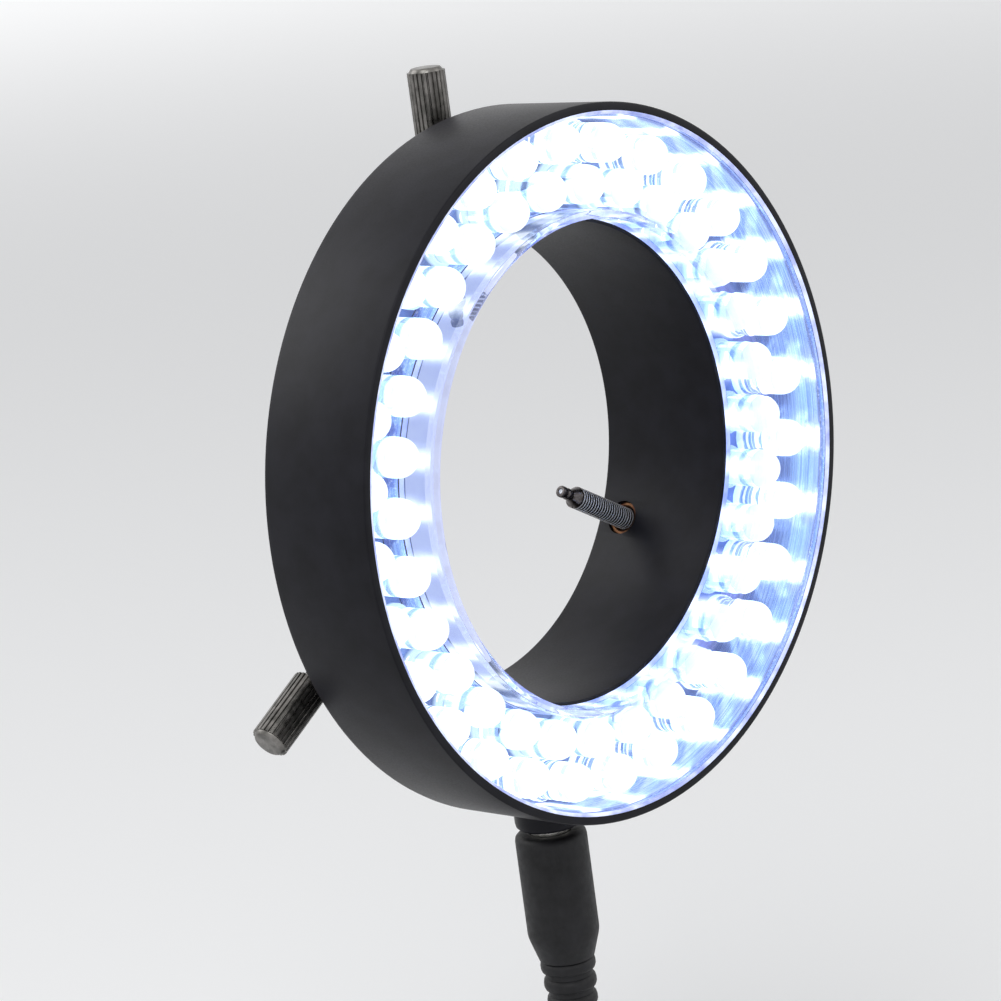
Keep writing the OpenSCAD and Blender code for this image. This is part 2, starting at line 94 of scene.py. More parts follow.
# %% [markdown]
# ## Floor
#
# A pale floor lies under the lead, lower by the thickness of the coil's tie. A grey floor would
# show a line where it ends, and a white one would lose its shadows. So the floor gives some light
# of its own, which only the camera, reflections and clear material see: a little near the object,
# where shadows stay, and more far away, where the floor fades into the white behind it.

# %% Pale floor that fades out
TIE = 0.5
TIE_GAP = 0.1
FADE = {"From Min": 0.3, "From Max": 3.0, "To Min": 0.14, "To Max": 0.64}
floor_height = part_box("cord_coil")[0][2] - (TIE + TIE_GAP) * MM
bpy.ops.object.select_all(action="DESELECT")
bpy.ops.mesh.primitive_plane_add(size=14, location=(0, 0, floor_height))
floor = bpy.context.active_object
floor.name = "floor"
paper = bpy.data.materials.new("pale_floor")
paper.use_nodes = True
paper_tree = paper.node_tree
paper_shader = paper_tree.nodes["Principled BSDF"]
paper_shader.inputs["Base Color"].default_value = (0.8, 0.8, 0.8, 1)
paper_shader.inputs["Roughness"].default_value = 0.9
paper_shader.inputs["Specular IOR Level"].default_value = 0.1
floor.data.materials.append(paper)


def seen_rays(tree):
    """One where the camera, a reflection or clear material looks, and zero for the light itself."""
    rays = tree.nodes.new("ShaderNodeLightPath")
    seen = rays.outputs["Is Camera Ray"]
    for kind in ("Is Glossy Ray", "Is Transmission Ray"):
        either = tree.nodes.new("ShaderNodeMath")
        either.operation = "MAXIMUM"
        tree.links.new(seen, either.inputs[0])
        tree.links.new(rays.outputs[kind], either.inputs[1])
        seen = either.outputs[0]
    return seen


lift = paper_tree.nodes.new("ShaderNodeMath")
lift.operation = "MULTIPLY"
paper_tree.links.new(seen_rays(paper_tree), lift.inputs[0])
on_floor = paper_tree.nodes.new("ShaderNodeTexCoord")
reach = paper_tree.nodes.new("ShaderNodeVectorMath")
reach.operation = "LENGTH"
fade = paper_tree.nodes.new("ShaderNodeMapRange")
fade.interpolation_type = "SMOOTHSTEP"
for socket, value in FADE.items():
    fade.inputs[socket].default_value = value
paper_tree.links.new(on_floor.outputs["Object"], reach.inputs[0])
paper_tree.links.new(reach.outputs["Value"], fade.inputs["Value"])
paper_tree.links.new(fade.outputs["Result"], lift.inputs[1])
paper_tree.links.new(lift.outputs[0], paper_shader.inputs["Emission Strength"])
paper_shader.inputs["Emission Color"].default_value = (1, 1, 1, 1)
print("floor at", round(floor_height / MM, 1), "mm")

# %% [markdown]
# ## World
#
# The world could be a picture of a studio, but then its reflections are hard to place. One plain
# background is enough here. It is white for the camera and for reflections, and a softer grey for
# the light that falls on the object, so that the black pieces stay dark.

# %% White background with softer light
world = bpy.data.worlds.new("studio")
scene.world = world
world.use_nodes = True
sky = world.node_tree
light = sky.nodes["Background"]
light.inputs["Color"].default_value = (0.95, 0.97, 1.0, 1)
light.inputs["Strength"].default_value = 0.42
white = sky.nodes.new("ShaderNodeBackground")
white.inputs["Color"].default_value = (1, 1, 1, 1)
mix = sky.nodes.new("ShaderNodeMixShader")
sky.links.new(seen_rays(sky), mix.inputs[0])
sky.links.new(light.outputs[0], mix.inputs[1])
sky.links.new(white.outputs[0], mix.inputs[2])
sky.links.new(mix.outputs[0], sky.nodes["World Output"].inputs["Surface"])
scene.view_settings.view_transform = "Standard"
print("world:", world.name)

# %% [markdown]
# ## Studio lamps
#
# Three large lamps give soft light: a key from the upper left, a weak fill from the right and one
# behind for the rim. Point lamps would be simpler, but the size of an area lamp sets how soft the
# shadows' edges are.

# %% Key, fill and rim
def soft_lamp(name, place, size, power):
    """A square area lamp that looks at the bore's centre."""
    bpy.ops.object.select_all(action="DESELECT")
    bpy.ops.object.light_add(type="AREA", location=place)
    lamp = bpy.context.active_object
    lamp.name = name
    lamp.data.size = size
    lamp.data.energy = power
    lamp.rotation_euler = Vector(place).to_track_quat("Z", "Y").to_euler()
    print("lamp", name, "with", power, "W")


soft_lamp("key", (-0.55, -0.35, 0.75), 0.6, 5.0)
soft_lamp("fill", (0.6, -0.6, 0.35), 0.7, 1.6)
soft_lamp("rim", (-0.35, 0.75, 0.55), 0.6, 2.6)

# %% [markdown]
# ## The lead's route
#
# The lead drops from the plug's strain relief, bends onto the floor close behind the object, lies
# in a coil of two flat layers, and ends in a second plug beside it. The drop and the tail could
# be drawn with Bezier handles, but a smooth line through plain points is easier to place. The
# coil is a spiral that runs in on the floor and out again on top.

# %% Points from strain relief to end plug
CORD = 3.6
drop_start = Vector((0, 2.7, -86))
drop_shape = [(0, 0, 0), (0, 0, -3), (0, 0, -6.5), (-0.4, 0, -10), (-1.3, 0, -13.5), (-2.7, 0.1, -17),
              (-4.3, 0.6, -20.5), (-6, 1.9, -24.2), (-7.5, 4, -27.6), (-8.9, 6.9, -30.7),
              (-9.9, 10.2, -33.2), (-10.6, 13.8, -35), (-10.9, 17.4, -35.8), (-11, 20.8, -36),
              (-11, 24, -36)]
tail_shape = [(0, 1), (-2, 1), (-4, 0.88), (-6, 0.62), (-8, 0.33), (-10, 0.1), (-11.5, 0.02), (-13, 0)]
PITCH = 4.1
TURNS = 8.75
TURN_STEPS = 48
OUTER = 5 * CORD + TURNS * PITCH / 4
coil_start = drop_start + Vector(drop_shape[-1]) + Vector((0, CORD, 0))
coil_middle = coil_start + Vector((OUTER, 0, 0))
tail_start = coil_middle + Vector((-CORD, -OUTER, PITCH))


def through(knots, steps=4):
    """A smooth line through the knots, with a few points between each pair."""
    line = []
    for i in range(len(knots) - 1):
        a = knots[max(i - 1, 0)]
        b = knots[i]
        c = knots[i + 1]
        d = knots[min(i + 2, len(knots) - 1)]
        for k in range(steps):
            t = k / steps
            line.append(b + (c - a) * (t / 2) + (a * 2 - b * 5 + c * 4 - d) * (t * t / 2)
                        + (b * 3 - a - c * 3 + d) * (t * t * t / 2))
    return line + [knots[-1]]


def on_coil(t):
    """A point of the coil after t turns: in on the floor, up, and out on top."""
    radius = OUTER - PITCH * min(t, TURNS - t)
    climb = min(max(2 * t - TURNS + 0.5, 0), 1)
    lift = PITCH * climb * climb * (3 - 2 * climb)
    turn = 2 * math.pi * t
    return coil_middle + Vector((-radius * math.cos(turn), radius * math.sin(turn), lift))


drop = through([drop_start + Vector(step) for step in drop_shape])
coil = [on_coil(k / TURN_STEPS) for k in range(int(TURNS * TURN_STEPS) + 1)]
tail = through([tail_start + Vector((x, 0, -1.1 * (1 - share))) for x, share in tail_shape])
route = [point * MM for point in drop + coil + tail]
print("points in drop, coil and tail:", len(drop), len(coil), len(tail))

# %% [markdown]
# ## Cord
#
# The lead is one round cord. It could be a mesh swept along the route, but a curve with a round
# bevel keeps its length and thickness as plain numbers.

# %% Cord along the route
cord_line = bpy.data.curves.new("power_cord", "CURVE")
cord_line.dimensions = "3D"
cord_line.bevel_depth = CORD / 2 * MM
cord_line.bevel_resolution = 5
cord_line.use_fill_caps = True
spline = cord_line.splines.new("POLY")
spline.points.add(len(route) - 1)
for knot, point in zip(spline.points, route):
    knot.co = (point.x, point.y, point.z, 1)
spline.use_smooth = True
cord = bpy.data.objects.new("power_cord", cord_line)
scene.collection.objects.link(cord)

# %% [markdown]
# ## Finishes
#
# Each finish is a Principled shader fed by a few noise nodes on Object coordinates, so it sits
# still on its piece from every side. A small helper keeps the node work short: it places a noise,
# turns it into a colour or a roughness, and adds a bump. Constants go straight onto the shader's
# sockets.

# %% A helper for node finishes
ROW = 30
ROW_TURN = 3.4
INNER_ROW = 0.5
OUTER_ROW = 0.0


class Finish:
    """A material with a Principled shader, and short words for the nodes that feed it."""

    def __init__(self, name, **constants):
        self.material = bpy.data.materials.new(name)
        self.material.use_nodes = True
        self.tree = self.material.node_tree
        self.shader = self.tree.nodes["Principled BSDF"]
        self.where = self.tree.nodes.new("ShaderNodeTexCoord").outputs["Object"]
        for socket, value in constants.items():
            self.shader.inputs[socket.replace("_", " ")].default_value = value

    def noise(self, scale, detail=3, stretch=(1, 1, 1)):
        """Noise with that many spots a metre, drawn out by a Mapping node."""
        mapping = self.tree.nodes.new("ShaderNodeMapping")
        mapping.inputs["Scale"].default_value = stretch
        self.tree.links.new(self.where, mapping.inputs["Vector"])
        node = self.tree.nodes.new("ShaderNodeTexNoise")
        node.inputs["Scale"].default_value = scale
        node.inputs["Detail"].default_value = detail
        self.tree.links.new(mapping.outputs["Vector"], node.inputs["Vector"])
        return node.outputs["Fac"]

    def across(self):
        """The distance from the bore's axis, in metres."""
        flat = self.tree.nodes.new("ShaderNodeMapping")
        flat.inputs["Scale"].default_value = (1, 0, 1)
        self.tree.links.new(self.where, flat.inputs["Vector"])
        radius = self.tree.nodes.new("ShaderNodeVectorMath")
        radius.operation = "LENGTH"
        self.tree.links.new(flat.outputs["Vector"], radius.inputs[0])
        return radius.outputs["Value"]

    def axes(self):
        """The place on the piece as three numbers, in metres."""
        parts = self.tree.nodes.new("ShaderNodeSeparateXYZ")
        self.tree.links.new(self.where, parts.inputs["Vector"])
        return parts.outputs

    def sums(self, operation, *values):
        """One step of arithmetic with other nodes' outputs and plain numbers."""
        node = self.tree.nodes.new("ShaderNodeMath")
        node.operation = operation
        for socket, value in zip(node.inputs, values):
            if isinstance(value, bpy.types.NodeSocket):
                self.tree.links.new(value, socket)
            else:
                socket.default_value = value
        return node.outputs[0]

    def spread(self, value, first, last, low, high, clamp=True):
        """A value between first and last as a number between low and high."""
        node = self.tree.nodes.new("ShaderNodeMapRange")
        node.clamp = clamp
        limits = {"From Min": first, "From Max": last, "To Min": low, "To Max": high}
        for socket, limit in limits.items():
            node.inputs[socket].default_value = limit
        self.tree.links.new(value, node.inputs["Value"])
        return node.outputs["Result"]

    def share(self, value, first, last, uneven, spots=900):
        """A place in millimetres as a share of the way from first to last, made uneven by noise."""
        way = self.spread(value, first * MM, last * MM, -uneven / 2, 1 - uneven / 2)
        return self.sums("MULTIPLY_ADD", self.noise(spots, 4), uneven, way)

    def beside_lamps(self, first, uneven, spots):
        """One beside each lamp of a row and zero half way between, made uneven by noise."""
        here = self.axes()
        clock = self.sums("ARCTAN2", here["X"], here["Z"])
        first_lamp = math.radians(ROW * ROW_TURN + first * 360)
        wave = self.sums("COSINE", self.sums("MULTIPLY_ADD", clock, ROW, -first_lamp))
        level = self.spread(wave, -1, 1, -uneven / 2, 1 - uneven / 2, clamp=False)
        return self.sums("MULTIPLY_ADD", self.noise(spots, 4), uneven, level)

    def stops(self, factor, tones, socket="Base Color"):
        """The factor as a colour that passes through several tones, each with its place."""
        ramp = self.tree.nodes.new("ShaderNodeValToRGB")
        row = ramp.color_ramp.elements
        while len(row) < len(tones):
            row.new(0.5)
        for stop, (place_on_ramp, tone) in zip(row, tones):
            stop.position = place_on_ramp
            stop.color = (*tone, 1)
        self.tree.links.new(factor, ramp.inputs["Fac"])
        self.tree.links.new(ramp.outputs["Color"], self.shader.inputs[socket])
        return self

    def colour(self, factor, dark, light, socket="Base Color"):
        """The factor as a colour between two tones."""
        return self.stops(factor, [(0.35, dark), (0.65, light)], socket)

    def roughness(self, factor, low, high, start=0.3, end=0.7):
        """The factor as a roughness between two limits."""
        level = self.spread(factor, start, end, low, high)
        self.tree.links.new(level, self.shader.inputs["Roughness"])
        return self

    def bump(self, height, depth, strength):
        """Small relief, depth in metres."""
        node = self.tree.nodes.new("ShaderNodeBump")
        node.inputs["Strength"].default_value = strength
        node.inputs["Distance"].default_value = depth
        self.tree.links.new(height, node.inputs["Height"])
        self.tree.links.new(node.outputs["Normal"], self.shader.inputs["Normal"])
        return self


print("finish helper ready")

# %% [markdown]
# ### Mouldings
#
# The housing is a satin black moulding, the plugs are softer and the cord's sheath is a little
# shinier. One black could serve for all of them, but then they run into each other. Each gets its
# own tones, and a fine grain that breaks its highlights.

# %% Black mouldings
satin = Finish("satin_black", Specular_IOR_Level=0.14)
satin.colour(satin.noise(260), (0.005, 0.005, 0.0075), (0.009, 0.009, 0.013))
satin.roughness(satin.noise(4000, 3), 0.36, 0.44)
satin.bump(satin.noise(9000, 2), 0.00001, 0.4)

soft_black = Finish("soft_black", Specular_IOR_Level=0.26)
soft_black.colour(soft_black.noise(320), (0.008, 0.008, 0.009), (0.016, 0.016, 0.018))
soft_black.roughness(soft_black.noise(1200, 4), 0.46, 0.62)
soft_black.bump(soft_black.noise(7000, 2), 0.00003, 0.6)

sheath = Finish("cord_sheath", Specular_IOR_Level=0.4)
sheath.colour(sheath.noise(240), (0.01, 0.01, 0.011), (0.018, 0.018, 0.02))
sheath.roughness(sheath.noise(800), 0.4, 0.55)
sheath.bump(sheath.noise(4000, 2), 0.00003, 0.5)

gloss_black = Finish("gloss_black", Specular_IOR_Level=0.5)
gloss_black.colour(gloss_black.noise(300), (0.008, 0.008, 0.009), (0.014, 0.014, 0.015))
gloss_black.roughness(gloss_black.noise(700), 0.2, 0.32)
print("finishes so far:", len(bpy.data.materials))

# %% [markdown]
# ### Metals
#
# The screws are dull nickel, a little stained, the bushes are tarnished brass darkened by painted
# shade, and the contacts are bright. Stains could be painted on, but noise on the colour and the
# roughness is enough at this size.

# %% Plated, turned and blackened metals
def plain_metal(name, spots, dark, light, grain, low, high):
    """A metal with two tones and a range of roughness, each spread by its own noise."""
    finish = Finish(name, Metallic=1.0)
    finish.colour(finish.noise(spots, 4), dark, light)
    return finish.roughness(finish.noise(grain, 4), low, high)


nickel = Finish("dull_nickel", Metallic=1.0)
nickel.colour(nickel.noise(700, 5), (0.11, 0.107, 0.1), (0.22, 0.21, 0.2))
nickel.roughness(nickel.noise(1500, 4), 0.24, 0.4)
nickel.bump(nickel.noise(9000, 2), 0.000004, 0.4)

bright = plain_metal("bright_contact", 500, (0.55, 0.54, 0.5), (0.7, 0.69, 0.66), 1600, 0.14, 0.28)
brass = plain_metal("turned_brass", 600, (0.42, 0.26, 0.09), (0.62, 0.42, 0.17), 1400, 0.2, 0.34)
# Very dark brass for the bushes in the collar: tarnish together with painted shade.
tarnished_and_shaded = plain_metal("tarnished_brass_and_painted_shade", 900, (0.05, 0.02, 0.012), (0.12, 0.06, 0.03),
                        1400, 0.28, 0.45)
blackened_and_shaded = plain_metal("blackened_steel_and_painted_shade", 1400, (0.05, 0.045, 0.045), (0.13, 0.12, 0.12),
                        2200, 0.26, 0.42)

# A pale finish that paints the highlight on the thread's crests and on the tip's dished face.
crest = Finish("painted_highlight_crest", Metallic=0.35)
crest.colour(crest.noise(1800, 3), (0.66, 0.69, 0.75), (0.86, 0.89, 0.94))
crest.roughness(crest.noise(2600, 3), 0.34, 0.48)

zinc = plain_metal("zinc_plate", 900, (0.42, 0.43, 0.45), (0.6, 0.6, 0.62), 1800, 0.22, 0.4)
tin = plain_metal("tinned_lead", 1500, (0.55, 0.55, 0.57), (0.78, 0.78, 0.8), 2500, 0.2, 0.4)
print("finishes so far:", len(bpy.data.materials))

# %% [markdown]
# ### Rolled strip
#
# The reflector is bright rolled strip. An anisotropic shader could draw its streaks, but noise
# that is drawn out round the axis reads as tool marks from every side. The reflector also shows
# each lamp of the outer row once more, as a soft white spot. Reflected light is slow to gather
# here, so the strip itself gives that light.

# %% Reflector and foil
def rolled_strip(name, emission, dark, light):
    """Bright rolled metal that gives painted light of its own, with tool marks drawn out round the
    axis.
    """
    finish = Finish(name, Metallic=1.0, Emission_Strength=emission)
    finish.colour(finish.noise(60, 5, (1, 90, 1)), dark, light)
    finish.roughness(finish.noise(90, 5, (1, 60, 1)), 0.12, 0.4)
    return finish.bump(finish.noise(120, 4, (1, 80, 1)), 0.00002, 0.4)


turned = rolled_strip("reflector_with_painted_glints", 0.35, (0.18, 0.25, 0.48), (0.38, 0.48, 0.76))
# The foil glows with a painted blue haze and speckles of painted glints.
turned.stops(turned.noise(2400, 3), [
    (0.3, (0.08, 0.11, 0.45)), (0.56, (0.14, 0.2, 0.6)), (0.66, (0.7, 0.8, 1.0))], "Emission Color")

mirror = rolled_strip("lit_reflector", 1.1, (0.17, 0.24, 0.44), (0.4, 0.5, 0.72))
mirror.stops(mirror.beside_lamps(OUTER_ROW, 0.9, 520), [
    (0.3, (0.06, 0.09, 0.19)), (0.56, (0.14, 0.2, 0.33)), (0.73, (0.42, 0.54, 0.66)),
    (0.9, (1.0, 1.0, 1.0))], "Emission Color")
print("finishes so far:", len(bpy.data.materials))

# %% [markdown]
# ### Clear cover
#
# The cover is clear and lit from behind, so its skirt has a violet haze that is brightest beside
# each lamp, and its edges shine, as the edges of a clear sheet do. Light inside a real sheet
# would take long to gather, so each part of the cover gives a little light of its own, and noise
# makes it uneven.

# %% Cover, skirt and shining edge
COVER_REACH = (30.5, 44)
clear = Finish("clear_cover", Transmission_Weight=1.0, IOR=1.04, Coat_Weight=0.6,
               Coat_Roughness=0.04, Emission_Strength=1.0)
clear.roughness(clear.noise(400, 5, (1, 12, 1)), 0.0, 0.07, start=0.5, end=0.75)
clear.stops(clear.share(clear.across(), *COVER_REACH, 0.02), [
    (0.08, (0.5, 0.55, 0.82)), (0.11, (0.9, 0.94, 1.0)), (0.6, (0.95, 0.975, 1.0))])
clear.stops(clear.share(clear.across(), *COVER_REACH, 0.03), [
    (0.0, (0.1, 0.105, 0.2)), (0.1, (0.1, 0.105, 0.19)), (0.14, (0.012, 0.014, 0.024)),
    (0.95, (0.01, 0.012, 0.02)), (0.97, (0.05, 0.055, 0.09))], "Emission Color")

haze = Finish("hazy_skirt", Transmission_Weight=1.0, IOR=1.04, Emission_Strength=1.0)
haze.colour(haze.noise(320), (0.5, 0.56, 0.84), (0.58, 0.65, 0.9))
haze.roughness(haze.noise(600, 4), 0.0, 0.06)
haze.stops(haze.beside_lamps(INNER_ROW, 0.8, 360), [
    (0.25, (0.03, 0.05, 0.12)), (0.55, (0.1, 0.13, 0.22)), (0.78, (0.3, 0.35, 0.4)),
    (0.98, (0.7, 0.74, 0.76))], "Emission Color")

shine = Finish("shining_edge", Roughness=0.3, Emission_Strength=0.8)
shine.colour(shine.noise(700), (0.25, 0.29, 0.55), (0.45, 0.5, 0.75))
shine.colour(shine.noise(260, 4), (0.16, 0.2, 0.5), (0.8, 0.86, 1.0), socket="Emission Color")
print("finishes so far:", len(bpy.data.materials))

# %% [markdown]
# ### Lit lamps
#
# Each lamp's body is clear and shows its lead frame, and its dome glows. The glow could be a
# bright point behind real glass, but light through glass is slow to gather and noisy, so the lamp
# itself gives the light, in bands from foot to dome. The inner row has a pale foot and a waist of
# painted blue shade, and the outer row has painted dark rings in place of the light that its cast
# body would bend.

# %% Resin of both rows, and the dome
LAMP = 8.6
DOME = 5.6
FOOT = -6.5
WHITE = (1.0, 1.0, 1.0)
# The dark blue bands are painted shade: a dim glow, and a deeper tint in the clear resin.
PALE = (0.6, 0.8, 0.9)
BLUE = (0.05, 0.09, 0.2)
CLEAR = (0.95, 0.98, 1.0)
BAND_SHADE_TINT = (0.32, 0.44, 0.76)


def lit_resin(name, bands):
    """Clear resin that shines in bands, each at a height above the lamp's foot in millimetres; the dark
    bands are painted shade.
    """
    finish = Finish(name, Transmission_Weight=1.0, IOR=1.5, Emission_Strength=1.1)
    finish.roughness(finish.noise(1500), 0.01, 0.06)
    height = finish.share(finish.axes()["Y"], FOOT, FOOT - LAMP, 0.02)
    finish.stops(height, [(place / LAMP, BAND_SHADE_TINT if tone == BLUE else CLEAR) for place, tone in bands])
    return finish.stops(height, [(place / LAMP, tone) for place, tone in bands], "Emission Color")


inner_resin = lit_resin("inner_row_resin", [
    (0.0, BLUE), (0.8, PALE), (1.4, PALE), (1.55, (0.3, 0.45, 0.75)), (1.7, PALE), (3.9, PALE),
    (4.2, BLUE), (4.8, BLUE), (5.3, PALE)])
outer_resin = lit_resin("outer_row_resin", [
    (0.0, PALE), (0.95, WHITE), (1.02, BLUE), (1.25, BLUE), (1.32, WHITE), (1.65, WHITE), (1.72, BLUE),
    (2.12, BLUE), (2.17, PALE), (2.24, PALE), (2.3, BLUE), (2.7, BLUE), (2.77, WHITE), (2.93, WHITE),
    (3.0, BLUE), (3.6, BLUE), (3.8, WHITE), (4.6, WHITE), (5.3, PALE)])

glow = Finish("lit_dome", Roughness=0.12, Emission_Strength=1.0)
glow.colour(glow.noise(900), (0.26, 0.32, 0.36), (0.36, 0.41, 0.44))
glow.stops(glow.share(glow.axes()["Y"], FOOT - DOME, FOOT - LAMP, 0.3, 700), [
    (0.0, (0.6, 0.78, 0.86)), (0.3, (0.8, 0.92, 0.96)), (0.7, WHITE)], "Emission Color")
print("finishes so far:", len(bpy.data.materials))

# %% [markdown]
# ### Board, resistors and wires
#
# These lie behind the lamps and show only in the gaps between them. A picture of a board could be
# laid on, but two tones and a roughness are enough, with a slight bump on the board, where its
# blue mask lies over copper.

# %% Board, film and red insulation
board_blue = Finish("board_blue", Specular_IOR_Level=0.5)
board_blue.colour(board_blue.noise(420, 2), (0.045, 0.075, 0.22), (0.1, 0.16, 0.38))
board_blue.roughness(board_blue.noise(900), 0.28, 0.42)
board_blue.bump(board_blue.noise(800, 2), 0.00003, 0.5)

film = Finish("fired_film", Specular_IOR_Level=0.4)
film.colour(film.noise(1500), (0.012, 0.012, 0.013), (0.03, 0.03, 0.032))
film.roughness(film.noise(2000), 0.35, 0.55)

red = Finish("red_insulation", Specular_IOR_Level=0.45)
red.colour(red.noise(700), (0.28, 0.008, 0.008), (0.42, 0.016, 0.014))
red.roughness(red.noise(1200), 0.35, 0.5)
print("finishes:", len(bpy.data.materials))

# %% [markdown]
# ## Modelling helpers
#
# Most pieces of a lamp like this are turned or moulded round an axis. Each starts as a single
# vertex that is extruded along half of the section, and the section is then spun round the axis.
# The same section could be drawn as a curve, but extruding keeps one mesh from the first point to
# the last.

# %% Drawing a section and rounding its corners
def draw(name, points):
    """Starts a piece as one vertex and extrudes it along the points, which are in millimetres."""
    bpy.ops.object.select_all(action="DESELECT")
    bpy.ops.mesh.primitive_plane_add(size=MM)
    piece = bpy.context.active_object
    piece.name = name
    piece.data.name = name
    bpy.ops.object.mode_set(mode="EDIT")
    bpy.ops.mesh.select_all(action="SELECT")
    bpy.ops.mesh.merge(type="CENTER")
    bpy.ops.transform.translate(value=Vector(points[0]) * MM)
    here = Vector(points[0])
    for point in points[1:]:
        step = (Vector(point) - here) * MM
        bpy.ops.mesh.extrude_vertices_move(TRANSFORM_OT_translate={"value": step})
        here = Vector(point)
    bpy.ops.mesh.select_all(action="SELECT")
    bpy.ops.mesh.remove_doubles(threshold=0.001 * MM)
    return piece


def soften(corners, steps=3):
    """Rounds each corner (across, along, rounding) of a section with a short curve."""
    section = []
    for i, (across, along, rounding) in enumerate(corners):
        here = Vector((across, along))
        if rounding == 0:
            section.append((across, along))
            continue
        before = Vector(corners[i - 1][:2])
        after = Vector(corners[(i + 1) % len(corners)][:2])
        start = here + (before - here).normalized() * rounding
        end = here + (after - here).normalized() * rounding
        for k in range(steps + 1):
            t = k / steps
            section.append(tuple(start * (1 - t) ** 2 + here * (2 * t * (1 - t)) + end * t * t))
    return section


print("helpers for sections ready")

# %% [markdown]
# ### Spinning and filling
#
# A section that is spun makes a round piece, and an outline that is filled and extruded makes a
# flat one. The Screw modifier could spin it too, but the Spin tool works on the mesh at once and
# leaves nothing to apply.

# %% Round and flat pieces
def spin_round(piece, centre, axis, steps):
    """Spins what is selected a full turn, closes the seam and turns the faces outwards."""
    bpy.ops.mesh.spin(steps=steps, angle=2 * math.pi, center=Vector(centre) * MM, axis=axis)
    bpy.ops.mesh.select_all(action="SELECT")
    bpy.ops.mesh.remove_doubles(threshold=0.001 * MM)
    bpy.ops.mesh.normals_make_consistent(inside=False)
    bpy.ops.object.mode_set(mode="OBJECT")
    return piece


def turn_y(name, section, centre=(0, 0, 0), steps=180, closed=True):
    """A piece turned round a line along Y: section points are (radius, y)."""
    points = [(centre[0] + r, y, centre[2]) for r, y in section]
    piece = draw(name, points + points[:1] if closed else points)
    return spin_round(piece, centre, (0, 1, 0), steps)


def turn_z(name, section, centre, steps, closed=True):
    """A piece turned round a line along Z: section points are (radius, z)."""
    points = [(centre[0] + r, centre[1], z) for r, z in section]
    piece = draw(name, points + points[:1] if closed else points)
    return spin_round(piece, centre, (0, 0, 1), steps)


def plate(name, points, step):
    """A flat piece: a closed outline, filled and extruded by a step in millimetres."""
    piece = draw(name, points + points[:1])
    bpy.ops.mesh.edge_face_add()
    bpy.ops.mesh.extrude_region_move(TRANSFORM_OT_translate={"value": Vector(step) * MM})
    bpy.ops.mesh.select_all(action="SELECT")
    bpy.ops.mesh.normals_make_consistent(inside=False)
    bpy.ops.object.mode_set(mode="OBJECT")
    return piece


print("helpers for round and flat pieces ready")

# %% [markdown]
# ### Copies, turns and dressing
#
# Lamps and screws repeat round the bore. They could be linked copies, but one mesh for a row
# keeps the list of pieces short. Each finished piece is dressed: it is shaded, gets its finish,
# and rides on its body.

# %% Copying, turning, joining and dressing
def only(piece):
    """Makes a piece the only one selected."""
    bpy.ops.object.select_all(action="DESELECT")
    piece.select_set(True)
    bpy.context.view_layer.objects.active = piece


def repeat_round(piece, count):
    """Copies the whole mesh round the bore's axis until there are count of it."""
    only(piece)
    bpy.ops.object.mode_set(mode="EDIT")
    bpy.ops.mesh.select_all(action="SELECT")
    sweep = 2 * math.pi * (count - 1) / count
    bpy.ops.mesh.spin(steps=count - 1, dupli=True, angle=sweep, center=(0, 0, 0), axis=(0, 1, 0))
    bpy.ops.object.mode_set(mode="OBJECT")


def turn_about_bore(piece, degrees):
    """Turns a piece round the bore's axis, clockwise as seen from the lamps' side, in its mesh."""
    only(piece)
    piece.rotation_euler = (0, math.radians(degrees), 0)
    bpy.ops.object.transform_apply(location=False, rotation=True, scale=False)


def join(pieces):
    """Joins pieces into the first of them."""
    only(pieces[0])
    for piece in pieces[1:]:
        piece.select_set(True)
    bpy.ops.object.join()
    return pieces[0]


def dress(piece, finish, slot, body, *nodes, angle=40):
    """Shades a piece, gives it a finish if it has none, and rides it on a body in place of nodes; the
    slot is not used.
    """
    only(piece)
    bpy.ops.object.shade_smooth_by_angle(angle=math.radians(angle))
    if not piece.data.materials:
        piece.data.materials.append(finish.material)
    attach(piece, body)
    if nodes:
        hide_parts(*nodes)
    print(piece.name, len(piece.data.polygons), "faces on", body)


print("helpers for copies and dressing ready")

# %% [markdown]
# ## Lamps
#
# A 5 mm lamp is a clear cast body with a flange, a dome, and a stamped lead frame inside: a wide
# post with the cup and a slim post beside it. One lamp is turned on its own axis and then copied
# round the bore, 30 times in each row. The two rows are half a step apart, so that the lamps
# nest.

# %% Two rows of lamps with their lead frames
INNER_CIRCLE = 35.05
OUTER_CIRCLE = 40.35
LAMP_R = 2.5
LAMP_FLANGE = 2.9
DOME_STEPS = 8
POST = 0.5
lamp_section = [(0, 0), (LAMP_FLANGE, 0), (LAMP_FLANGE, 0.85), (2.75, 1.0), (LAMP_R, 1.05),
                (LAMP_R, LAMP - LAMP_R)]
for k in range(1, DOME_STEPS):
    angle = math.radians(90 * k / DOME_STEPS)
    lamp_section.append((LAMP_R * math.cos(angle), LAMP - LAMP_R + LAMP_R * math.sin(angle)))
lamp_section.append((0, LAMP))


def lamp_row(name, radius, first, resin):
    """One row of clear lamp bodies."""
    section = [(across, FOOT - height) for across, height in lamp_section]
    row = turn_y(name, section, centre=(0, 0, radius), steps=24, closed=False)
    row.data.materials.append(resin.material)
    row.data.materials.append(glow.material)
    for face in row.data.polygons:
        if face.center.y < (FOOT - DOME) * MM:
            face.material_index = 1
    turn_about_bore(row, ROW_TURN + first * 360 / ROW)
    repeat_round(row, ROW)
    return row


